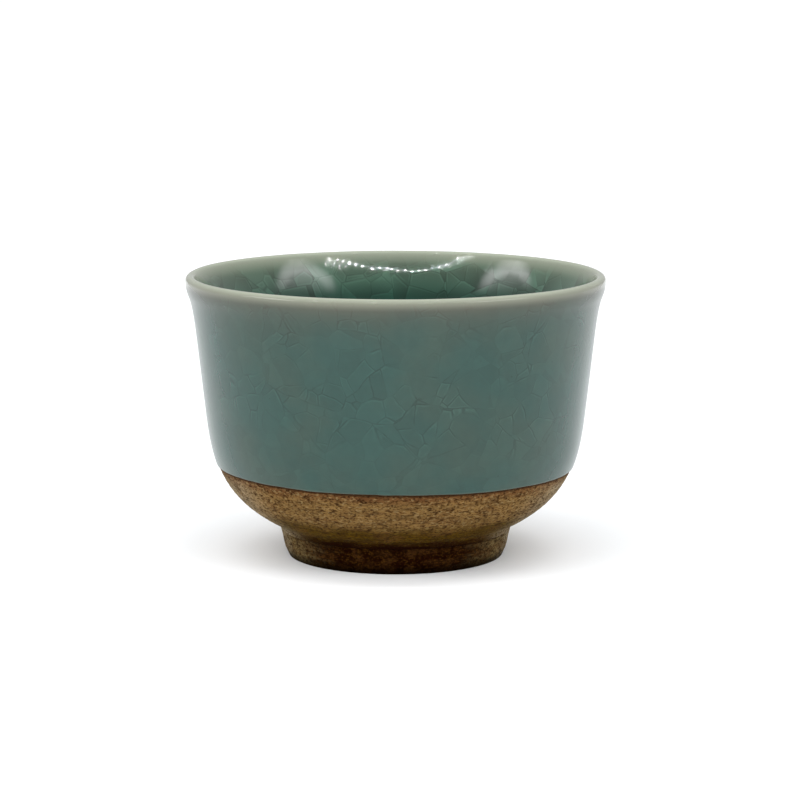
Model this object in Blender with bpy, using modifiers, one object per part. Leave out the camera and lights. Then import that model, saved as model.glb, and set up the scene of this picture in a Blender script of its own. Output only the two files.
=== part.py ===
"""A matcha bowl: a thrown stoneware body on a luted foot ring, under celadon glaze.

Metres, +Z up. The origin is the middle of the foot's resting face, and every piece is turned
about Z. A profile is a list of (radius, height) points, drawn in the half plane at +X.
"""

from math import atan, cos, pi, radians, sin, tan

import bpy
from mathutils import Vector
from mathutils.geometry import interpolate_bezier

# Overall sizes, measured over the glaze
RIM_DIAMETER = 0.120
HEIGHT = 0.081

# Glaze coats, which seat on the clay and on each other with a small gap
GLAZE_THICKNESS = 0.0004
SEAT_GAP = 0.0003
GLAZE_LINE_HEIGHT = 0.0262  # where the outer coat stops and the bare clay begins
LIP_BAND_DEPTH = 0.0045  # how far down from the rim the thin coat over the lip reaches

# Wall, measured over the glaze
LIP_THICKNESS = 0.0031
WALL_THICKNESS = 0.0045
WALL_TAPER = 0.112  # outward slope of the straight wall
FLARE_DEPTH = 0.0175  # the wall leaves its straight line this far under the rim
FLARE_REACH = 0.0011  # the rim stands this far outside the wall's straight line
FLARE_START_PULL = 0.90  # a pull is a curve's handle, as a share of the curve's chord
FLARE_END_PULL = 0.40
OUTER_LIP_LEAN = radians(6)
INNER_LIP_LEAN = radians(16)

# Shoulder, where the wall turns in to the foot
SHOULDER_HEIGHT = 0.041
SHOULDER_PULL = 0.39
UNDERSIDE_LEAN = radians(25)  # slope of the bare underside beside the foot
UNDERSIDE_PULL = 0.47

# Inside
FLOOR_THICKNESS = 0.0045  # from the foot's recess to the glazed floor
INNER_SHOULDER_HEIGHT = 0.043
INNER_WALL_PULL = 0.52
INNER_FLOOR_PULL = 0.50
TEA_POOL_RADIUS = 0.017  # the shallow hollow where the last of the tea gathers
TEA_POOL_DEPTH = 0.0010

# Foot ring
FOOT_DIAMETER = 0.0662
FOOT_HEIGHT = 0.0084
FOOT_SIDE_LEAN = radians(10)  # the side draws in towards the table
FOOT_BEVEL_HEIGHT = 0.0036
FOOT_BEVEL_WIDTH = 0.0014
FOOT_RESTING_WIDTH = 0.0044
FOOT_INNER_LEAN = radians(9)  # the ring thickens towards the bowl
FOOT_INNER_ROUND = 0.0008
BOSS_RADIUS = 0.011  # the low turned point in the middle of the foot's recess
BOSS_DROP = 0.0010

# Facets
SEGMENTS = 48  # round the axis
SHOULDER_POINTS = 9
FLARE_POINTS = 4
LIP_QUARTER_POINTS = 3
POOL_POINTS = 3
FOOT_BEVEL_POINTS = 4
FOOT_ROUND_POINTS = 3
MERGE_DISTANCE = 0.00001

LIP_ROUND = LIP_THICKNESS / 2
LIP_CENTRE = Vector((RIM_DIAMETER / 2 - LIP_ROUND, HEIGHT - LIP_ROUND))
LIP_BAND_HEIGHT = HEIGHT - LIP_BAND_DEPTH
FLARE_HEIGHT = HEIGHT - FLARE_DEPTH
CLAY_DEPTH = GLAZE_THICKNESS + SEAT_GAP  # from the glazed surface down to the clay
BODY_BASE_HEIGHT = FOOT_HEIGHT + SEAT_GAP
FLOOR_HEIGHT = BODY_BASE_HEIGHT + FLOOR_THICKNESS


def clear_scene():
    for obj in list(bpy.data.objects):
        bpy.data.objects.remove(obj)


def principled(name, colour, roughness):
    material = bpy.data.materials.new(name)
    material.use_nodes = True
    shader = material.node_tree.nodes["Principled BSDF"]
    shader.inputs["Base Color"].default_value = (*colour, 1)
    shader.inputs["Roughness"].default_value = roughness
    shader.inputs["Metallic"].default_value = 0
    return material


def rising(lean):
    """A unit vector that rises and leans outward from the vertical."""
    return Vector((sin(lean), cos(lean)))


def bezier(start, start_pull, end_pull, end, count):
    """Points along a cubic Bezier, from its ends and the vectors from them to their handles."""
    corners = (start, start + start_pull, end + end_pull, end)
    return [point.to_2d() for point in interpolate_bezier(*(corner.to_3d() for corner in corners), count)]


def arc(centre, radius, start, end, count):
    turns = [start + (end - start) * i / (count - 1) for i in range(count)]
    return [centre + radius * Vector((cos(turn), sin(turn))) for turn in turns]


def right_of(along):
    return Vector((along.y, -along.x)).normalized()


def offset(outline, distance):
    """The outline moved to its right with mitred corners. A point on the axis stays on it."""
    moved = []
    for i, point in enumerate(outline):
        before = right_of(point - outline[i - 1]) if i > 0 else None
        after = right_of(outline[i + 1] - point) if i < len(outline) - 1 else None
        before = before or after
        normal = (before + (after or before)).normalized()
        step = normal * distance / normal.dot(before)
        moved.append(Vector((0, point.y + step.y)) if point.x == 0 else point + step)
    return moved


def wall_radius(height):
    """Radius of the straight outer wall at a height, over the glaze."""
    return RIM_DIAMETER / 2 - FLARE_REACH - WALL_TAPER * (HEIGHT - height)


def lip_arc(start, end, count):
    return arc(LIP_CENTRE, LIP_ROUND, start, end, count)


def outside_surface():
    """The outer side over the glaze, rising from the foot to the lip."""
    wall = rising(atan(WALL_TAPER))
    underside = Vector((cos(UNDERSIDE_LEAN), sin(UNDERSIDE_LEAN)))
    base = Vector((FOOT_DIAMETER / 2, BODY_BASE_HEIGHT)) + right_of(underside) * CLAY_DEPTH
    shoulder = Vector((wall_radius(SHOULDER_HEIGHT), SHOULDER_HEIGHT))
    chord = (shoulder - base).length
    underside_pull = underside * UNDERSIDE_PULL * chord
    turn_in = bezier(base, underside_pull, -wall * SHOULDER_PULL * chord, shoulder, SHOULDER_POINTS)

    flare_start = Vector((wall_radius(FLARE_HEIGHT), FLARE_HEIGHT))
    lip = lip_arc(-OUTER_LIP_LEAN, 0, 2)[0]
    chord = (lip - flare_start).length
    start_pull = wall * FLARE_START_PULL * chord
    end_pull = -rising(OUTER_LIP_LEAN) * FLARE_END_PULL * chord
    return turn_in + bezier(flare_start, start_pull, end_pull, lip, FLARE_POINTS)


def inside_surface():
    """The inner side over the glaze, falling from the lip to the middle of the floor."""
    wall = rising(atan(WALL_TAPER))
    lip = lip_arc(pi - INNER_LIP_LEAN, pi, 2)[0]
    flare_end = Vector((wall_radius(FLARE_HEIGHT) - WALL_THICKNESS, FLARE_HEIGHT))
    pull = (lip - flare_end).length / 3
    flare = bezier(lip, -rising(INNER_LIP_LEAN) * pull, wall * pull, flare_end, FLARE_POINTS)

    shoulder = Vector((wall_radius(INNER_SHOULDER_HEIGHT) - WALL_THICKNESS, INNER_SHOULDER_HEIGHT))
    pool_edge = Vector((TEA_POOL_RADIUS, FLOOR_HEIGHT + TEA_POOL_DEPTH))
    chord = (shoulder - pool_edge).length
    floor_pull = Vector((INNER_FLOOR_PULL * chord, 0))
    turn_in = bezier(shoulder, -wall * INNER_WALL_PULL * chord, floor_pull, pool_edge, SHOULDER_POINTS)

    pool = []
    for i in range(1, POOL_POINTS + 1):
        share = 1 - i / POOL_POINTS
        rise = TEA_POOL_DEPTH * (1 - cos(pi * share)) / 2
        pool.append(Vector((TEA_POOL_RADIUS * share, FLOOR_HEIGHT + rise)))
    return flare + turn_in + pool


def glazed_outline():
    """The whole glazed surface, from beside the foot, over the lip, to the middle of the floor."""
    outer_quarter = lip_arc(0, pi / 2, LIP_QUARTER_POINTS)
    inner_quarter = lip_arc(pi / 2, pi - INNER_LIP_LEAN, LIP_QUARTER_POINTS)
    return outside_surface() + outer_quarter + inner_quarter[1:-1] + inside_surface()


def glaze_back_outline():
    """The glaze's own back face, which seats on the clay."""
    return offset(glazed_outline(), -GLAZE_THICKNESS)


def clay_outline():
    return offset(glazed_outline(), -CLAY_DEPTH)


def crest(outline):
    return max(range(len(outline)), key=lambda i: outline[i].y)


def outer_half(outline):
    return outline[: crest(outline) + 1]


def inner_half(outline):
    return outline[crest(outline) :]


def between(outline, low, high):
    """The stretch of an outline that lies between two heights, with new ends cut level."""
    kept = []
    for before, after in zip(outline, outline[1:]):
        if low <= before.y <= high:
            kept.append(before)
        crossed = [level for level in (low, high) if (before.y - level) * (after.y - level) < 0]
        for level in sorted(crossed, key=lambda level: abs(level - before.y)):
            kept.append(before.lerp(after, (level - before.y) / (after.y - before.y)))
    if low <= outline[-1].y <= high:
        kept.append(outline[-1])
    return kept


def body_profile():
    boss = [Vector((BOSS_RADIUS, BODY_BASE_HEIGHT)), Vector((0, BODY_BASE_HEIGHT - BOSS_DROP))]
    return clay_outline()[::-1] + boss


def foot_profile():
    top_outer = Vector((FOOT_DIAMETER / 2, FOOT_HEIGHT))
    side_drop = FOOT_HEIGHT - FOOT_BEVEL_HEIGHT
    bevel_top = top_outer - Vector((side_drop * tan(FOOT_SIDE_LEAN), side_drop))
    rest_outer = Vector((bevel_top.x - FOOT_BEVEL_WIDTH, 0))
    side_pull = -rising(FOOT_SIDE_LEAN) * FOOT_BEVEL_HEIGHT / 2
    rest_pull = Vector((FOOT_BEVEL_WIDTH / 2, FOOT_BEVEL_HEIGHT / 3))
    bevel = bezier(bevel_top, side_pull, rest_pull, rest_outer, FOOT_BEVEL_POINTS)

    round_centre = Vector((rest_outer.x - FOOT_RESTING_WIDTH, FOOT_INNER_ROUND))
    inner_round = arc(round_centre, FOOT_INNER_ROUND, -pi / 2, -pi + FOOT_INNER_LEAN, FOOT_ROUND_POINTS)
    inner_rise = FOOT_HEIGHT - inner_round[-1].y
    top_inner = Vector((inner_round[-1].x - inner_rise * tan(FOOT_INNER_LEAN), FOOT_HEIGHT))
    return [top_outer, *bevel, *inner_round, top_inner]


def outer_glaze_profile():
    heights = GLAZE_LINE_HEIGHT, LIP_BAND_HEIGHT - SEAT_GAP
    back = between(outer_half(glaze_back_outline()), *heights)
    front = between(outer_half(glazed_outline()), *heights)
    return front[::-1] + back


def inner_glaze_profile():
    heights = 0, LIP_BAND_HEIGHT - SEAT_GAP
    back = between(inner_half(glaze_back_outline()), *heights)
    front = between(inner_half(glazed_outline()), *heights)
    return front[::-1] + back


def lip_glaze_profile():
    heights = LIP_BAND_HEIGHT, HEIGHT
    back = between(glaze_back_outline(), *heights)
    front = between(glazed_outline(), *heights)
    return front[::-1] + back


def turned(name, profile, material, collection):
    """A piece turned about Z. Its profile runs down its outer side, and closes into a loop
    unless both ends are on the axis."""
    edges = [(i, i + 1) for i in range(len(profile) - 1)]
    if profile[0].x > 0:
        edges.append((len(profile) - 1, 0))
    mesh = bpy.data.meshes.new(name)
    mesh.from_pydata([(point.x, 0, point.y) for point in profile], edges, [])
    mesh.materials.append(material)
    piece = bpy.data.objects.new(name, mesh)
    collection.objects.link(piece)

    screw = piece.modifiers.new("Turned", "SCREW")
    screw.steps = SEGMENTS
    screw.render_steps = SEGMENTS
    screw.use_smooth_shade = True
    screw.use_merge_vertices = True
    screw.merge_threshold = MERGE_DISTANCE
    return piece


def main():
    clear_scene()
    bowl = bpy.data.collections.new("matcha_bowl")
    bpy.context.scene.collection.children.link(bowl)

    clay = principled("speckled_clay", (0.135, 0.077, 0.030), 0.85)
    foot_clay = principled("foot_clay", (0.040, 0.018, 0.008), 0.80)
    celadon = principled("celadon_glaze", (0.098, 0.150, 0.128), 0.15)
    inside_celadon = principled("inside_celadon_glaze", (0.060, 0.125, 0.092), 0.12)
    thin_glaze = principled("thin_lip_glaze", (0.42, 0.45, 0.36), 0.15)

    turned("stoneware_body", body_profile(), clay, bowl)
    turned("foot_ring", foot_profile(), foot_clay, bowl)
    turned("outer_glaze", outer_glaze_profile(), celadon, bowl)
    turned("inner_glaze", inner_glaze_profile(), inside_celadon, bowl)
    turned("lip_glaze", lip_glaze_profile(), thin_glaze, bowl)


main()
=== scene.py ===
"""Looks for a matcha bowl: crackled celadon glaze over speckled stoneware.

Everything is in metres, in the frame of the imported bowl, with the table at height 0. Each coat of
glaze and each piece of clay is thrown as rings about Z, from the same outline as the bowl.
"""

from math import atan, cos, pi, radians, sin, tan

import bpy
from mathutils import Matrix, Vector
from mathutils.geometry import interpolate_bezier


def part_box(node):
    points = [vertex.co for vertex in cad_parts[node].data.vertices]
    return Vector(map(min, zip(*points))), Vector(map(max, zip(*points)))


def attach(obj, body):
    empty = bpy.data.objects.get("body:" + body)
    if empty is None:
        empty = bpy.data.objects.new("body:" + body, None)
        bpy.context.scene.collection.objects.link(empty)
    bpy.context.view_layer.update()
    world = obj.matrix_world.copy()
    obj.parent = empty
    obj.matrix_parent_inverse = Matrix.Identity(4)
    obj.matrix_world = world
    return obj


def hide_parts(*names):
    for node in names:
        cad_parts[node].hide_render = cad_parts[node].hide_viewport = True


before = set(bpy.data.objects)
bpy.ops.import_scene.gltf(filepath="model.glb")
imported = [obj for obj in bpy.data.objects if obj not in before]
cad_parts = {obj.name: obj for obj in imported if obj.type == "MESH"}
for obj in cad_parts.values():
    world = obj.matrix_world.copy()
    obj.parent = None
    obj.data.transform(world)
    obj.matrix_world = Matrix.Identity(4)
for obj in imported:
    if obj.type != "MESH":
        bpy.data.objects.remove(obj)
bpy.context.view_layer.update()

# The bowl's driving sizes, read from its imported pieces
rim_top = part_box("lip_glaze")[1]
foot_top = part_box("foot_ring")[1]
RIM_RADIUS = rim_top.x
RIM_HEIGHT = rim_top.z
LIP_BAND_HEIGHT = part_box("lip_glaze")[0].z
GLAZE_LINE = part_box("outer_glaze")[0].z
FOOT_RADIUS = foot_top.x
FLOOR_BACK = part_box("inner_glaze")[0].z
SEAT_GAP = 0.0003  # left between pieces that seat on each other
RECESS_CEILING = foot_top.z + SEAT_GAP

# Coats of glaze
GLAZE_STEP = 0.0004  # how far the glaze stands off the bare clay at its edge
COAT_THICKNESS = 0.00036
GLAZE_LINE_TILT = radians(0.55)  # the bowl was dipped a little off level
RIDGES_RUN_ON = 0.001  # the tool's ridges go on this far behind the edge of the glaze
EDGE_LIFT = 0.0002  # keeps the wandering edge above the tilted glaze line
EDGE_WANDER = 0.0003
EDGE_ROUND = 0.00014
UNEVENNESS = 0.00010  # the glaze sinks in by up to this much, here and there

# Outline, over the glaze. A pull is a curve's handle: a length, or a share of the curve's chord.
LIP_ROUND = 0.00155
OUTER_LIP_LEAN = radians(6)
INNER_LIP_LEAN = radians(24)
WALL_TAPER = 0.112  # outward slope of the straight wall
WALL_THICKNESS = 0.0045
FLARE_REACH = 0.0011  # the rim stands this far outside the wall's straight line
FLARE_HEIGHT = RIM_HEIGHT - 0.0175  # where the wall starts to turn out
OUTER_FLARE_PULLS = 0.9, 0.4
INNER_FLARE_PULLS = 0.28, 0.45
SHOULDER_HEIGHT = 0.041
SHOULDER_PULL = 0.0153
UNDERSIDE_LEAN = radians(25.3)
UNDERSIDE_PULL = 0.0187
UNDERSIDE_START = Vector((FOOT_RADIUS - 0.00035, 0.00823))  # just inside the foot's side, over its seat
INNER_SHOULDER_HEIGHT = 0.043
INNER_TURN_PULLS = 0.52, 0.5
INNER_FLOOR = FLOOR_BACK + GLAZE_STEP
TEA_POOL_RADIUS = 0.017
TEA_POOL_DEPTH = 0.0010

# Foot, below the glaze
FOOT_SEAT = 0.0075  # where the foot ring meets the bowl
RECESS_RADIUS = 0.0246
FOOT_SIDE = (
    (FOOT_RADIUS, FOOT_SEAT), (0.0326, 0.0056), (0.03226, 0.00375), (0.03186, 0.00225), (0.03132, 0.00113)
)
FOOT_REST = (0.0308, 0), (0.0264, 0), (0.0256, 0.0008), (RECESS_RADIUS, FOOT_SEAT)
FILLET_FOOT = Vector((FOOT_RADIUS, 0.0076))
FILLET_PULLS = 0.0008, Vector((0.00025, 0.0007))
FILLET_CLEARS = Vector((0.030, 0.0095))  # further out and lower than this there is only the fillet
RIDGED_RING = 0.012, 0.0236  # the part of the recess that keeps the turning tool's ridges
FINE_STEP = 0.0004  # between the points of the bare clay, close enough to follow its ridges
COARSE_STEP = 0.0005  # between the points of the recess and of the foot's side
BOSS = (0, 0.0010), (0.005, 0.0009), (0.009, 0.0004)  # radius, and drop from the recess's ceiling
RIDGE_DEPTH = 0.00010
RIDGES = (0.6, 0.0019, 0), (0.4, 0.00083, 1)  # share, pitch and phase of each set of ridges

ROUND = 192  # sides of a thrown ring
MERGE_DISTANCE = 0.000004  # closes the seam of a spin
TOUCHING = 0.000001  # nearer than this, two points of an outline are one
HAIR = 0.00001  # allows for rounding when a part is told by its height
NEAR_AXIS = 0.001  # only the inner coat comes this near the axis
EVEN_WITHIN = 0.028  # nearer the axis than this, the painted front shade and side sheen fade evenly from side to side

LIP_CENTRE = Vector((RIM_RADIUS - LIP_ROUND, RIM_HEIGHT - LIP_ROUND))


# ---------------------------------------------------------------- outline

def rising(lean):
    """A unit vector that rises and leans outward from the vertical."""
    return Vector((sin(lean), cos(lean)))


WALL = rising(atan(WALL_TAPER))
UNDERSIDE = rising(pi / 2 - UNDERSIDE_LEAN)


def wall_point(height, depth=0.0):
    """A point of the wall's straight line, or of a line further in."""
    return Vector((RIM_RADIUS - FLARE_REACH - WALL_TAPER * (RIM_HEIGHT - height) - depth, height))


def straight(start, end, count=10):
    return [start.lerp(end, i / count) for i in range(count + 1)]


def bezier(start, start_pull, end_pull, end, count):
    corners = (start, start + start_pull, end + end_pull, end)
    return [point.to_2d() for point in interpolate_bezier(*(corner.to_3d() for corner in corners), count)]


def arc(centre, radius, start, end, count):
    turns = [start + (end - start) * i / (count - 1) for i in range(count)]
    return [centre + radius * Vector((cos(turn), sin(turn))) for turn in turns]


def points(*pairs):
    return [Vector(pair) for pair in pairs]


def joined(*stretches):
    """Stretches of outline as one, without repeating the points where they meet."""
    outline = list(stretches[0])
    for stretch in stretches[1:]:
        outline += stretch[1:] if (stretch[0] - outline[-1]).length < TOUCHING else stretch
    return outline


def evenly(outline, step):
    """The outline with its points about a step apart."""
    spaced = [outline[0]]
    for before, after in zip(outline, outline[1:]):
        count = max(1, round((after - before).length / step))
        spaced += straight(before, after, count)[1:]
    return spaced


def right_of(along):
    return Vector((along.y, -along.x)).normalized()


def offset(outline, distance):
    """The outline moved to its right. A point on the axis stays on it."""
    moved = []
    for i, point in enumerate(outline):
        before = right_of(point - outline[i - 1]) if i > 0 else None
        after = right_of(outline[i + 1] - point) if i < len(outline) - 1 else None
        before = before or after
        normal = (before + (after or before)).normalized()
        step = normal * distance / normal.dot(before)
        moved.append(Vector((0, point.y + step.y)) if point.x == 0 else point + step)
    return moved


def cut(outline, height):
    """An outline that crosses a height once, cut there into the part before and the part after."""
    for i, (before, after) in enumerate(zip(outline, outline[1:])):
        if (before.y - height) * (after.y - height) <= 0 and before.y != after.y:
            edge = before.lerp(after, (height - before.y) / (after.y - before.y))
            return outline[: i + 1] + [edge], [edge] + outline[i + 1 :]
    return outline, []


def turned_by_tool(outline):
    """The fine ridges that a turning tool leaves along a stretch of outline."""
    normal = right_of(outline[-1] - outline[0])
    path = 0
    ridged = []
    for before, point in zip(outline[:1] + outline, outline):
        path += (point - before).length
        ridge = sum(share * sin(path * 2 * pi / pitch + phase) for share, pitch, phase in RIDGES)
        ridged.append(point + normal * RIDGE_DEPTH * (ridge - 1) / 2)
    return ridged


def outside():
    """The glazed surface, rising from beside the foot to the lip."""
    shoulder = wall_point(SHOULDER_HEIGHT)
    turn_in = bezier(UNDERSIDE_START, UNDERSIDE * UNDERSIDE_PULL, -WALL * SHOULDER_PULL, shoulder, count=48)
    flare_start = wall_point(FLARE_HEIGHT)
    lip = over_lip()[0]
    chord = (lip - flare_start).length
    start_pull, end_pull = OUTER_FLARE_PULLS
    start_handle = WALL * start_pull * chord
    end_handle = -rising(OUTER_LIP_LEAN) * end_pull * chord
    flare = bezier(flare_start, start_handle, end_handle, lip, count=22)
    return joined(turn_in, straight(shoulder, flare_start), flare)


def over_lip():
    return arc(LIP_CENTRE, LIP_ROUND, -OUTER_LIP_LEAN, pi - INNER_LIP_LEAN, count=16)


def inside():
    """The glazed surface, falling from the lip to the middle of the floor."""
    lip = over_lip()[-1]
    flare_end = wall_point(FLARE_HEIGHT, WALL_THICKNESS)
    chord = (lip - flare_end).length
    start_pull, end_pull = INNER_FLARE_PULLS
    start_handle = -rising(INNER_LIP_LEAN) * start_pull * chord
    flare = bezier(lip, start_handle, WALL * end_pull * chord, flare_end, count=22)
    shoulder = wall_point(INNER_SHOULDER_HEIGHT, WALL_THICKNESS)
    pool_edge = Vector((TEA_POOL_RADIUS, INNER_FLOOR + TEA_POOL_DEPTH))
    chord = (shoulder - pool_edge).length
    start_pull, end_pull = INNER_TURN_PULLS
    end_handle = Vector((end_pull * chord, 0))
    turn_in = bezier(shoulder, -WALL * start_pull * chord, end_handle, pool_edge, count=40)
    pool = []
    steps = 12
    for i in range(steps + 1):
        share = 1 - i / steps
        rise = (1 - cos(pi * share)) / 2
        pool.append(Vector((TEA_POOL_RADIUS * share, INNER_FLOOR + TEA_POOL_DEPTH * rise)))
    return joined(flare, straight(flare_end, shoulder), turn_in, pool)


# ---------------------------------------------------------------- modelling

def only(piece):
    bpy.ops.object.select_all(action="DESELECT")
    piece.select_set(True)
    bpy.context.view_layer.objects.active = piece


def named(piece, name):
    piece.name = name
    piece.data.name = name
    return piece


def throw(name, outline):
    """A surface of revolution: its outline is drawn point by point at +X, then spun about Z."""
    bpy.ops.object.select_all(action="DESELECT")
    start = outline[0]
    bpy.ops.mesh.primitive_plane_add(size=0.001, location=(start.x, 0, start.y), enter_editmode=True)
    bpy.ops.mesh.merge(type="CENTER")
    for before, after in zip(outline, outline[1:]):
        step = (after.x - before.x, 0, after.y - before.y)
        bpy.ops.mesh.extrude_vertices_move(TRANSFORM_OT_translate={"value": step})
    bpy.ops.mesh.select_all(action="SELECT")
    bpy.ops.mesh.spin(steps=ROUND, angle=2 * pi, center=(0, 0, 0), axis=(0, 0, 1))
    bpy.ops.mesh.select_all(action="SELECT")
    bpy.ops.mesh.remove_doubles(threshold=MERGE_DISTANCE)
    bpy.ops.mesh.normals_make_consistent(inside=False)
    bpy.ops.object.mode_set(mode="OBJECT")
    piece = bpy.context.object
    only(piece)
    bpy.ops.object.transform_apply(location=True, rotation=True, scale=True)
    return named(piece, name)


def finish_with(piece, kind, **settings):
    """A modifier added to a piece and applied."""
    only(piece)
    modifier = piece.modifiers.new(kind.title(), kind)
    for setting, value in settings.items():
        setattr(modifier, setting, value)
    bpy.ops.object.modifier_apply(modifier=modifier.name)


def clouds(name, size):
    texture = bpy.data.textures.new(name, "CLOUDS")
    texture.noise_scale = size
    return texture


def fit(piece, node, finish):
    """A finished piece takes the place of its node in the frame."""
    only(piece)
    bpy.ops.object.shade_smooth_by_angle(angle=radians(40))
    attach(piece, "root")
    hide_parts(node)
    finish.on(piece)


# ---------------------------------------------------------------- shader maths

class Signal:
    """A shader socket that takes part in Python expressions, as a number or as a vector."""

    def __init__(self, recipe, socket):
        self.recipe = recipe
        self.socket = socket
        self.is_vector = socket.type in ("VECTOR", "RGBA")

    def maths(self, operation, *others):
        signals = [self, *(other for other in others if isinstance(other, Signal))]
        vectors = any(signal.is_vector for signal in signals)
        kind = "ShaderNodeVectorMath" if vectors else "ShaderNodeMath"
        return self.recipe.node(kind, {"operation": operation}, [self, *others])

    def __add__(self, other):
        return self.maths("ADD", other)

    __radd__ = __add__

    def __sub__(self, other):
        return self.maths("SUBTRACT", other)

    def __rsub__(self, other):
        return self * -1 + other

    def __mul__(self, other):
        return self.maths("MULTIPLY", other)

    __rmul__ = __mul__

    def __truediv__(self, other):
        return self.maths("DIVIDE", other)

    def __pow__(self, other):
        return self.maths("POWER", other)

    def __rpow__(self, base):
        return self.recipe.node("ShaderNodeMath", {"operation": "POWER"}, [base, self])

    def least(self, other):
        return self.maths("MINIMUM", other)

    def most(self, other):
        return self.maths("MAXIMUM", other)

    def size(self):
        return self.maths("ABSOLUTE")

    def angle(self):
        """The angle whose cosine this is."""
        return self.maths("ARCCOSINE")

    def dot(self, other):
        return self.recipe.node("ShaderNodeVectorMath", {"operation": "DOT_PRODUCT"}, [self, other], "Value")

    def part(self, axis):
        return self.recipe.node("ShaderNodeSeparateXYZ", {}, [self], axis)

    def ramp(self, start, end):
        """0 at start and 1 at end, eased between them."""
        inputs = {"Value": self, "From Min": start, "From Max": end}
        return self.recipe.node("ShaderNodeMapRange", {"interpolation_type": "SMOOTHSTEP"}, inputs)

    def fall(self, start, end):
        """1 at start and 0 at end, eased between them."""
        return 1 - self.ramp(start, end)


class Recipe:
    """A node tree, and the one way that nodes are added to it."""

    def __init__(self, owner, shader):
        owner.use_nodes = True
        self.owner = owner
        self.tree = owner.node_tree
        self.shader = self.tree.nodes[shader]

    def node(self, kind, settings, inputs, output=0):
        node = self.tree.nodes.new(kind)
        for setting, value in settings.items():
            setattr(node, setting, value)
        for name, value in inputs.items() if isinstance(inputs, dict) else enumerate(inputs):
            self.feed(node.inputs[name], value)
        return Signal(self, node.outputs[output])

    def feed(self, socket, value):
        if isinstance(value, Signal):
            self.tree.links.new(value.socket, socket)
        elif socket.type == "RGBA":
            socket.default_value = (*value, 1)
        elif socket.type == "VECTOR" and not hasattr(value, "__len__"):
            socket.default_value = (value, value, value)
        else:
            socket.default_value = value

    def blend(self, share, low, high):
        """One colour to the other by a share from 0 to 1."""
        factor, first, second, mixed = 0, 6, 7, 2  # a colour Mix node's sockets
        inputs = {factor: share, first: low, second: high}
        return self.node("ShaderNodeMix", {"data_type": "RGBA"}, inputs, mixed)

    def noise(self, place, grain, detail, output="Fac"):
        """Noise whose lumps are about a grain across."""
        inputs = {"Vector": place, "Scale": 1 / grain, "Detail": detail}
        return self.node("ShaderNodeTexNoise", {}, inputs, output)

    def voronoi(self, place, grain, feature, output):
        inputs = {"Vector": place, "Scale": 1 / grain}
        return self.node("ShaderNodeTexVoronoi", {"feature": feature}, inputs, output)

    def relief(self, height):
        """A normal from a height in metres."""
        return self.node("ShaderNodeBump", {}, {"Height": height, "Distance": 1.0})

    def set(self, inputs):
        for name, value in inputs.items():
            self.feed(self.shader.inputs[name], value)

    def on(self, piece):
        piece.data.materials.clear()
        piece.data.materials.append(self.owner)


class Finish(Recipe):
    """A material, with where the shaded point is on the bowl."""

    def __init__(self, name):
        super().__init__(bpy.data.materials.new(name), "Principled BSDF")
        self.place = self.node("ShaderNodeTexCoord", {}, [], "Object")
        self.height = self.place.part("Z")
        self.below_rim = RIM_HEIGHT - self.height

    def radius(self):
        level = self.place * (1, 1, 0)
        return level.dot(level) ** 0.5

    def over_glaze_line(self):
        return self.height + self.place.part("X") * tan(GLAZE_LINE_TILT) - GLAZE_LINE

    def towards_shaded_front(self):
        """1 on the front side, where painted shade darkens the clay and painted sheen is kept off, and 0 at
        right angles to it and at the axis.
        """
        return self.place.part("Y") / self.radius().most(EVEN_WITHIN) * -1


# ---------------------------------------------------------------- glaze

OUTER_GLOSS = 0.37  # how strongly the glaze mirrors the light
INNER_GLOSS = 0.42
INNER_ROUGHNESS = 0.06
OUTER_CRACK_WIDTH = 0.00022
INNER_CRACK_WIDTH = 0.00024

# Heights that one look gives way to another between
CRACKS_START = 0.028, 0.046
# between these the inside goes from painted shade to its clear green
SHADED_TO_CLEAR = 0.0665, 0.0745

# Distances from the edge of the glaze, or down from the rim, that a look fades between
EDGE_THINS_AND_HIGHLIGHT = 0.0002, 0.0007
PLATES_FADE_IN = 0.0008, 0.0060
CREST_ENDS = 0.0008, 0.0034

# For each side, the colour over the lip, the depth that halves it, and how far down the pale lip reaches
OUTER_THINNING = (0.125, 0.097, 0.070), 0.0024, 0.0034
INNER_THINNING = (0.185, 0.205, 0.140), 0.0020, 0.0048
PALE_LIP = (0.290, 0.320, 0.250)
TEAL = (0.019, 0.057, 0.047)
OLIVE = (0.028, 0.059, 0.046)
# painted shade and dark reflection down inside the bowl
SHADED_GREEN = (0.011, 0.047, 0.032)
CLEAR_GREEN = (0.048, 0.106, 0.074)
# the paler edge of the glaze: partly thin glaze, partly a painted highlight on its bead
THIN_EDGE_AND_HIGHLIGHT = (0.12, 0.12, 0.08)


def crackle(finish, plate_size, first_plates, wander):
    """Cracks of two ages: the later ones cross the plates between the first ones and stop at them.

    The first plates are first_plates times as large as the later ones. Gives the distance to the nearest
    crack, and for the plates of each age a random colour and the way from the plate's middle, as a share
    of its size.
    """
    drift = finish.noise(finish.place, 0.009, 1, "Color") - 0.5
    place = finish.place + drift * wander
    nearest = None
    plates = []
    for size in (plate_size * first_plates, plate_size):
        crack = finish.voronoi(place, size, "DISTANCE_TO_EDGE", "Distance") * size
        nearest = nearest.least(crack) if nearest else crack
        plate = finish.voronoi(place, size, "F1", "Color")
        middle = finish.voronoi(place, size, "F1", "Position")
        plates.append((plate, (place - middle) / size))
        place = place + plate * 0.07  # far enough that the later cracks don't line up across a first crack
    return nearest, plates


def lines(crack, reach, width):
    """A crack's dark line, and the lit edge of the plate below it."""
    dark = crack.fall(width * 0.3, width)
    lit = (crack - width * 1.5).size().fall(width * 0.4, width * 1.1)
    return dark, lit * reach.part("Z").ramp(0.0, 0.15)


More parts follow.
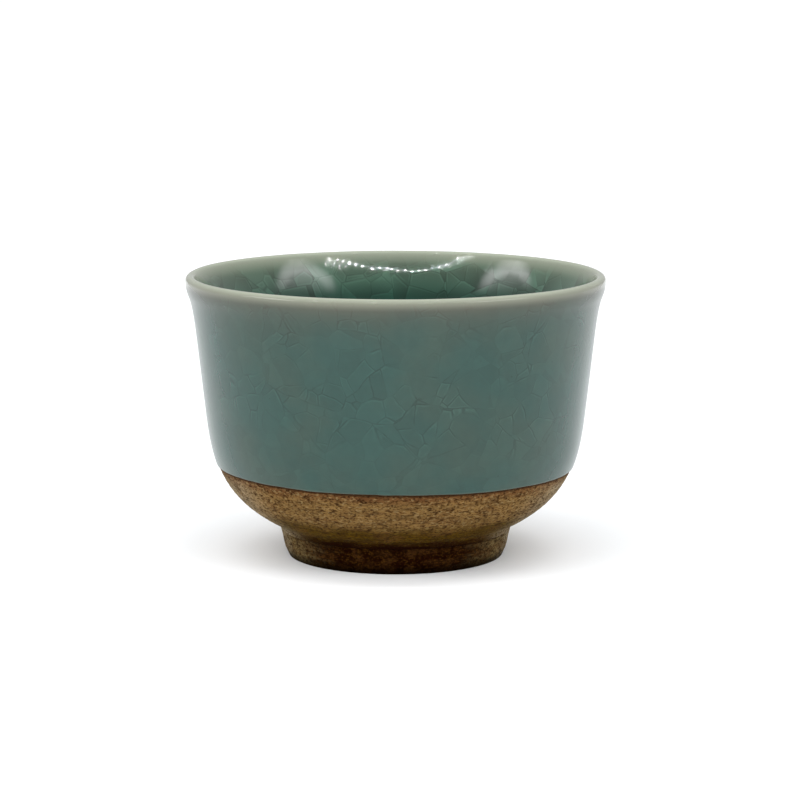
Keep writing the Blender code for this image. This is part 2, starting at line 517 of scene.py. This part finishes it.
def thin_over_lip(finish, colour, over_lip_colour, half_depth, pale_reach):
    """The glaze runs thin at the lip, so the clay shows through it, warm and then pale."""
    thinning = 0.5 ** (finish.below_rim / half_depth)
    thinnest = (1 - finish.below_rim / pale_reach).most(0) ** 1.6
    return finish.blend(thinnest, finish.blend(thinning, colour, over_lip_colour), PALE_LIP)


def dipped_glaze(finish):
    """Colour, roughness and relief of the glaze outside, whose fine cracks show in patches."""
    crack, plates = crackle(finish, plate_size=0.0068, first_plates=2.3, wander=0.0035)
    plate, reach = plates[1]
    drift = finish.noise(finish.place, 0.020, 3)
    colour = finish.blend(drift.ramp(0.36, 0.68), TEAL, OLIVE)
    patches = finish.noise(finish.place, 0.016, 1).ramp(0.38, 0.60) * finish.height.ramp(*CRACKS_START)
    gaps = finish.noise(finish.place + 0.5, 0.0035, 1).ramp(0.36, 0.58)
    seen = patches * gaps * 0.9 + 0.1
    dark, lit = lines(crack, reach, OUTER_CRACK_WIDTH)
    mottle = (finish.noise(finish.place, 0.0026, 2) - 0.5) * 0.20
    tone = (plate.part("X") - 0.5) * 0.14
    shade = 1 + mottle + tone + (lit * 0.22 - dark * 0.27) * seen
    pinholes = finish.voronoi(finish.place, 0.0080, "F1", "Distance").ramp(0.010, 0.035)
    shade = shade * (pinholes * 0.35 + 0.65)
    waves = finish.noise(finish.place, 0.007, 2)
    relief = waves * 0.00003 + (lit - dark) * seen * 0.000012
    colour = thin_over_lip(finish, colour * shade, *OUTER_THINNING)
    return colour, 0.20 + drift * 0.08, relief


def poured_glaze(finish):
    """Colour and relief of the glaze inside, darkened by painted shade below the rim, and broken into tilted
    plates that are given painted shade and light as well as relief.
    """
    crack, plates = crackle(finish, plate_size=0.0066, first_plates=2.6, wander=0.0006)
    # painted shade: the inside darker below the rim, where shade and dark reflection fall
    colour = finish.blend(finish.height.ramp(*SHADED_TO_CLEAR), SHADED_GREEN, CLEAR_GREEN)
    shade = 1
    tilts = 0
    for plate, reach in plates:
        tilt = reach.dot(plate - 0.5)
        # painted shade and light: each plate's colour darkens one way and lightens the other, as a tilted
        # plate would take the light
        shade = shade + tilt * 0.80 + (plate.part("X") - 0.5) * 0.26
        tilts = tilts + tilt
    dark, lit = lines(crack, plates[1][1], INNER_CRACK_WIDTH)
    shade = shade + lit * 0.18 - dark * 0.15
    seen = finish.below_rim.ramp(*PLATES_FADE_IN) * 0.85 + 0.15
    shade = 1 + (shade.most(0.5).least(1.32) - 1) * seen
    waves = finish.noise(finish.place, 0.008, 2)
    relief = waves * 0.00003 + tilts * 0.00012
    return thin_over_lip(finish, colour * shade, *INNER_THINNING), relief


def glazed(finish, colour, roughness, relief, gloss):
    finish.set({
        "Base Color": colour,
        "Roughness": roughness,
        "Normal": finish.relief(relief),
        "Specular IOR Level": gloss,
    })
    return finish


def celadon():
    """The outside, where the glaze thins once more at the glaze line, and its paler edge is partly a painted
    highlight on the bead.
    """
    finish = Finish("celadon")
    colour, roughness, relief = dipped_glaze(finish)
    # partly the glaze thinning at its edge, partly a painted highlight on the bead
    colour = finish.blend(finish.over_glaze_line().fall(*EDGE_THINS_AND_HIGHLIGHT) * 0.3, colour, THIN_EDGE_AND_HIGHLIGHT)
    return glazed(finish, colour, roughness, relief, OUTER_GLOSS)


def inside_celadon():
    finish = Finish("inside_celadon")
    colour, relief = poured_glaze(finish)
    return glazed(finish, colour, INNER_ROUGHNESS, relief, INNER_GLOSS)


def thin_lip():
    """Both glazes at once, each on its own side of the lip, so that the coats meet without a seam."""
    finish = Finish("thin_lip")
    outer_colour, outer_roughness, outer_relief = dipped_glaze(finish)
    inner_colour, inner_relief = poured_glaze(finish)
    is_outside = finish.radius().ramp(LIP_CENTRE.x - 0.0009, LIP_CENTRE.x + 0.0004)
    colour = finish.blend(is_outside, inner_colour, outer_colour)
    relief = inner_relief + (outer_relief - inner_relief) * is_outside
    below_crest = finish.below_rim.ramp(*CREST_ENDS)
    roughness = INNER_ROUGHNESS + (outer_roughness - INNER_ROUGHNESS) * is_outside * below_crest
    return glazed(finish, colour, roughness, relief, OUTER_GLOSS)


# ---------------------------------------------------------------- clay

TAN = (0.188, 0.107, 0.036)
OCHRE = (0.074, 0.038, 0.0030)
# umber, and painted shade in the crease above the foot
UMBER_AND_SHADE = (0.036, 0.015, 0.0015)
# painted sheen: lighter and greyer away from the front
SHEEN_GREY = (0.300, 0.235, 0.150)
RUDDY = (0.112, 0.052, 0.017)
RED_FLASH = (0.100, 0.037, 0.014)
# painted shade under the glaze's overhanging edge
SHADE_UNDER_GLAZE = (0.025, 0.010, 0.004)
IRON = (0.022, 0.008, 0.002)
GROG = (0.29, 0.195, 0.085)
RUST = (0.120, 0.072, 0.006)
# painted shade, dark brown, on the front of the foot and along its seat
FRONT_SHADE = (0.012, 0.0028, 0.0008)
GOLD = (0.055, 0.023, 0.004)
RED_BROWN = (0.058, 0.024, 0.007)
# the foot's own colour, away from the painted front shade
FOOT_CLAY = (0.175, 0.122, 0.052)
CHARRED = (0.006, 0.0015, 0.0005)

# Heights that one look of the clay gives way to another between
OCHRE_TO_TAN = 0.0122, 0.0178
# umber and painted shade just above the foot
UMBER_AND_SHADE_ENDS = 0.0086, 0.0118
RUST_TO_GROG = 0.0125, 0.0170
# where the painted shade along the foot's seat fades
FRONT_SHADE_ENDS = 0.0080, 0.0098
TABLE_SHADE_ENDS = 0.0, 0.0040

# Distances below the edge of the glaze that its marks on the clay fade between
FLASH_ENDS = 0.0004, 0.0036
# where the painted shade under the glaze's edge fades
SHADE_UNDER_GLAZE_ENDS = 0.0002, 0.0008

EDGE_WAVER = 0.004  # how far the levels of these looks wander up and down


def grains(finish):
    """Dark iron grains and the finest of them, drawn out level by the turning tool, and its streaks."""
    turned = finish.place * (1, 1, 2.0)
    fine = finish.noise(turned, 0.00080, 3)
    coarse = finish.noise(turned, 0.0021, 3)
    dark = fine.ramp(0.49, 0.60) * 0.75 + coarse.ramp(0.51, 0.64) * 0.55
    streak = finish.noise(finish.place * (1, 1, 9), 0.011, 3)
    return dark.least(1), fine, streak


def dry_clay(finish, colour, roughness, relief, gloss, dust, dust_tint):
    """Unglazed clay: its dusty surface lightens at a glancing angle."""
    finish.set({
        "Base Color": colour,
        "Roughness": roughness,
        "Normal": finish.relief(relief),
        "Specular IOR Level": gloss,
        "Sheen Weight": dust,
        "Sheen Roughness": 0.18,
        "Sheen Tint": dust_tint,
    })
    return finish


def bare_clay():
    """Tan clay that darkens to ochre and umber towards the foot, scorched red under the glaze line. Painted
    shade darkens it under the glaze's edge and, most on the front, above the foot; painted sheen lightens it
    away from the front.
    """
    finish = Finish("bare_clay")
    dark, fine, streak = grains(finish)
    wander = (streak - 0.5) * EDGE_WAVER
    height = finish.height + wander
    # the front, where painted shade is strongest
    shaded_front = finish.towards_shaded_front().ramp(0.45, 0.90)
    colour = finish.blend(height.ramp(*OCHRE_TO_TAN), OCHRE, TAN)
    # darker just above the foot: partly the clay's colour, partly painted shade in the crease there,
    # strongest on the front
    colour = finish.blend(height.fall(*UMBER_AND_SHADE_ENDS) * (shaded_front * 0.7 + 0.3), colour, UMBER_AND_SHADE)
    # painted sheen: the clay lighter and greyer away from the front
    colour = finish.blend(finish.towards_shaded_front().fall(0.35, 0.75) * 0.8, colour, SHEEN_GREY)
    patches = finish.noise(finish.place * (1, 1, 2.2), 0.0060, 3).ramp(0.48, 0.66)
    colour = finish.blend(patches * 0.45, colour, RUDDY)
    colour = colour * (1 + (streak - 0.5) * 1.3)
    below_glaze = finish.over_glaze_line() * -1
    flash = (below_glaze + wander * 0.5).fall(*FLASH_ENDS)
    colour = finish.blend(flash * 0.7, colour, RED_FLASH)
    colour = finish.blend(dark * 0.9, colour, IRON)
    pale = finish.noise(finish.place * (1, 1, 2.0) + 0.3, 0.0012, 2).ramp(0.54, 0.68)
    pale_grain = finish.blend(height.ramp(*RUST_TO_GROG), RUST, GROG)
    colour = finish.blend(pale * 0.55, colour, pale_grain)
    # painted shade: a thin dark line under the glaze's edge
    colour = finish.blend(below_glaze.fall(*SHADE_UNDER_GLAZE_ENDS) * 0.8, colour, SHADE_UNDER_GLAZE)
    # painted shade: a dark line on the front where the body meets the foot
    seat_shade_line = (height + (fine - 0.5) * 0.003).fall(*FRONT_SHADE_ENDS)
    colour = finish.blend(seat_shade_line * shaded_front, colour, FRONT_SHADE)
    relief = fine * 0.00012 + streak * 0.0001 - dark * 0.00008
    return dry_clay(finish, colour, 0.75, relief, gloss=0.01, dust=0.07, dust_tint=(0.8, 0.85, 0.5))


def dark_foot():
    """The foot, its front darkened by painted shade and its sides lightened by painted sheen, and darkened
    by painted shade where it meets the table.
    """
    finish = Finish("dark_foot")
    dark, fine, streak = grains(finish)
    # painted shade: the foot darkens towards its front
    colour = finish.blend((finish.towards_shaded_front() + (streak - 0.5) * 0.5).ramp(0.40, 0.88), FOOT_CLAY, FRONT_SHADE)
    # painted sheen: the foot lighter and greyer at its sides and back
    colour = finish.blend(finish.towards_shaded_front().fall(0.20, 0.50) * 0.9, colour, SHEEN_GREY)
    blotches = finish.noise(finish.place * (1, 1, 1.6), 0.0045, 3).ramp(0.45, 0.62)
    colour = finish.blend(blotches * 0.55, colour, RED_BROWN)
    gold = finish.noise(finish.place * (1, 1, 1.4), 0.0009, 3).ramp(0.48, 0.64)
    colour = finish.blend(gold * 0.75, colour, GOLD)
    colour = finish.blend(dark * 0.8, colour, CHARRED)
    colour = colour * (finish.height.ramp(*TABLE_SHADE_ENDS) * 0.85 + 0.15)
    relief = fine * 0.00014 - dark * 0.00008
    return dry_clay(finish, colour, 0.8, relief, gloss=0.0, dust=0.12, dust_tint=(0.75, 0.78, 0.55))


# ---------------------------------------------------------------- pieces

def coats():
    """The three coats of glaze are one skin, cut at the lip band and at the glaze line."""
    skin = throw("glaze", joined(outside(), over_lip(), inside()))
    pull = clouds("pull_of_the_glaze", 0.02)
    finish_with(skin, "DISPLACE", texture=pull, strength=UNEVENNESS, mid_level=1)
    bpy.ops.object.mode_set(mode="EDIT")
    bpy.ops.mesh.select_all(action="SELECT")
    bpy.ops.mesh.bisect(plane_co=(0, 0, LIP_BAND_HEIGHT), plane_no=(0, 0, 1))
    bpy.ops.mesh.edge_split(type="EDGE")
    bpy.ops.mesh.separate(type="LOOSE")
    bpy.ops.object.mode_set(mode="OBJECT")
    for part in list(bpy.context.selected_objects):
        places = [vertex.co for vertex in part.data.vertices]
        if min(place.z for place in places) > LIP_BAND_HEIGHT - HAIR:
            thicken(named(part, "lip_band"))
            fit(part, "lip_glaze", thin_lip())
        elif min(place.xy.length for place in places) < NEAR_AXIS:
            thicken(named(part, "inner_coat"))
            fit(part, "inner_glaze", inside_celadon())
        else:
            outer_coat(named(part, "outer_coat"))


def thicken(coat):
    finish_with(coat, "SOLIDIFY", thickness=COAT_THICKNESS, offset=-1, use_even_offset=True)


def outer_coat(piece):
    """The dipped coat ends in a low rounded bead that wanders a little."""
    only(piece)
    bpy.ops.object.mode_set(mode="EDIT")
    bpy.ops.mesh.select_all(action="SELECT")
    level = (sin(GLAZE_LINE_TILT), 0, cos(GLAZE_LINE_TILT))
    bpy.ops.mesh.bisect(plane_co=(0, 0, GLAZE_LINE + EDGE_LIFT), plane_no=level, clear_inner=True)
    bpy.ops.object.vertex_group_add()
    bpy.ops.object.vertex_group_assign()
    bpy.ops.object.mode_set(mode="OBJECT")
    edge = piece.vertex_groups.active.name
    run = clouds("run_of_the_edge", 0.007)
    finish_with(piece, "DISPLACE", texture=run, direction="Z", vertex_group=edge, strength=EDGE_WANDER)
    thicken(piece)
    finish_with(piece, "BEVEL", width=EDGE_ROUND, segments=3, limit_method="VGROUP", vertex_group=edge)
    fit(piece, "outer_glaze", celadon())


def clay_body():
    """The thrown clay under the glaze, with its turned shoulder bare and a fillet down to the foot."""
    clay = offset(joined(outside(), over_lip(), inside()), -GLAZE_STEP)
    clay = [point for point in clay if not (point.x > FILLET_CLEARS.x and point.y < FILLET_CLEARS.y)]
    bare, hidden = cut(clay, GLAZE_LINE + RIDGES_RUN_ON)
    side_pull, foot_pull = FILLET_PULLS
    fillet = bezier(bare[0], -UNDERSIDE * side_pull, foot_pull, FILLET_FOOT, count=8)[:0:-1]
    bare = turned_by_tool(evenly(bare, FINE_STEP))
    boss = points(*((radius, RECESS_CEILING - drop) for radius, drop in BOSS))
    ceiling = points(*((radius, RECESS_CEILING) for radius in RIDGED_RING))
    ceiling = turned_by_tool(evenly(ceiling, COARSE_STEP))
    recess_edge = points((RECESS_RADIUS, FILLET_FOOT.y))
    piece = throw("clay_body", joined(boss, ceiling, recess_edge, fillet, bare, hidden))
    fit(piece, "stoneware_body", bare_clay())


def foot():
    side = points(*FOOT_SIDE)
    piece = throw("foot", joined(evenly(side, COARSE_STEP), points(*FOOT_REST), side[:1]))
    fit(piece, "foot_ring", dark_foot())


# ---------------------------------------------------------------- studio

LAMP_DISTANCE = 2.5
LAMPS_IN_ROW = 23
FIRST_TURN = -58
TURN_BETWEEN = 4.7
ROW_RISE = 35.5  # in the middle of the row
ROW_BOW = 4.5  # how much higher the row is where its turn is ROW_BOW_TURN
ROW_BOW_TURN = 44
SINGLE_WITHIN = 30  # the row is doubled beyond this turn
DIFFUSERS = (61, 13, 1.3), (-75, 11, 1.6)  # turn, rise and power of each
EYE = (0.0004, -0.8439, 0.1819)
EYE_DOWNWARD = radians(9.2)
TABLE_TOP = -0.00005  # a hair under the foot's resting face, so that the two don't coincide
TABLE_RADIUS = 12


def heading(turn, rise):
    """A direction by its turn from the front towards +X, and its rise, in degrees."""
    turn = radians(turn)
    rise = radians(rise)
    return Vector((sin(turn) * cos(rise), -cos(turn) * cos(rise), sin(rise)))


def tent():
    """Soft white light all round, dimmer in front, with a round diffuser at each front corner."""
    world = bpy.data.worlds.new("light_tent")
    bpy.context.scene.world = world
    bpy.context.scene.view_settings.view_transform = "Standard"
    sky = Recipe(world, "Background")
    way = sky.node("ShaderNodeTexCoord", {}, [], "Generated")
    up = way.part("Z")
    roof = up.ramp(0.35, 1.0)
    sides = way.part("X").size().ramp(0.3, 0.95)
    front = (way.part("Y") * -1).ramp(0.1, 1.0) * up.fall(0.45, 0.75)
    light = 0.58 + roof * 0.74 + sides * 0.24 - front * 0.26
    for turn, rise, power in DIFFUSERS:
        off = way.dot(heading(turn, rise)).angle()
        disc = off.fall(radians(15), radians(24))
        rim = (off - radians(18)).size().fall(radians(1), radians(6))
        light = light + (disc * 2.2 + rim * 2.8) * up.ramp(0.22, 0.46) * power
    seen_directly = sky.node("ShaderNodeLightPath", {}, [], "Is Camera Ray")
    sky.set({"Color": (1, 1, 1), "Strength": light.most(seen_directly)})


def lamp(way, size, watts):
    bpy.ops.object.select_all(action="DESELECT")
    bpy.ops.object.light_add(type="POINT", radius=size, location=way * LAMP_DISTANCE)
    light = bpy.context.object
    light.data.energy = watts
    light.visible_camera = False


def strips():
    """Small lamps in a bowed row in front, doubled at its ends, and a shorter row overhead.

    Their reflections are the beads of light inside the bowl.
    """
    for i in range(LAMPS_IN_ROW):
        turn = FIRST_TURN + TURN_BETWEEN * i
        rise = ROW_RISE + ROW_BOW * (turn / ROW_BOW_TURN) ** 2
        lamp(heading(turn, rise), size=0.038, watts=4.4)
        if abs(turn) > SINGLE_WITHIN:
            lamp(heading(turn + 2.3, rise - 2.6), size=0.030, watts=2.4)
    for i in range(-3, 4):
        lamp(Vector((0.12 * i, -0.2, 0.95)).normalized(), size=0.032, watts=4.0)


def table():
    bpy.ops.object.select_all(action="DESELECT")
    place = (0, 0, TABLE_TOP)
    bpy.ops.mesh.primitive_circle_add(vertices=64, radius=TABLE_RADIUS, fill_type="NGON", location=place)
    surface = named(bpy.context.object, "table")
    paper = Recipe(bpy.data.materials.new("white_paper"), "Principled BSDF")
    paper.set({"Base Color": (0.92, 0.935, 0.95), "Roughness": 0.9, "Specular IOR Level": 0.1})
    paper.on(surface)


def camera():
    """The eye is a little over twice the bowl's height up, and looks slightly down."""
    bpy.ops.object.select_all(action="DESELECT")
    bpy.ops.object.camera_add(location=EYE, rotation=(pi / 2 - EYE_DOWNWARD, 0, 0))
    eye = bpy.context.object
    eye.data.lens = 135
    eye.data.sensor_width = 36
    eye.data.clip_end = 50
    bpy.context.scene.camera = eye


camera()
table()
tent()
strips()
coats()
clay_body()
foot()
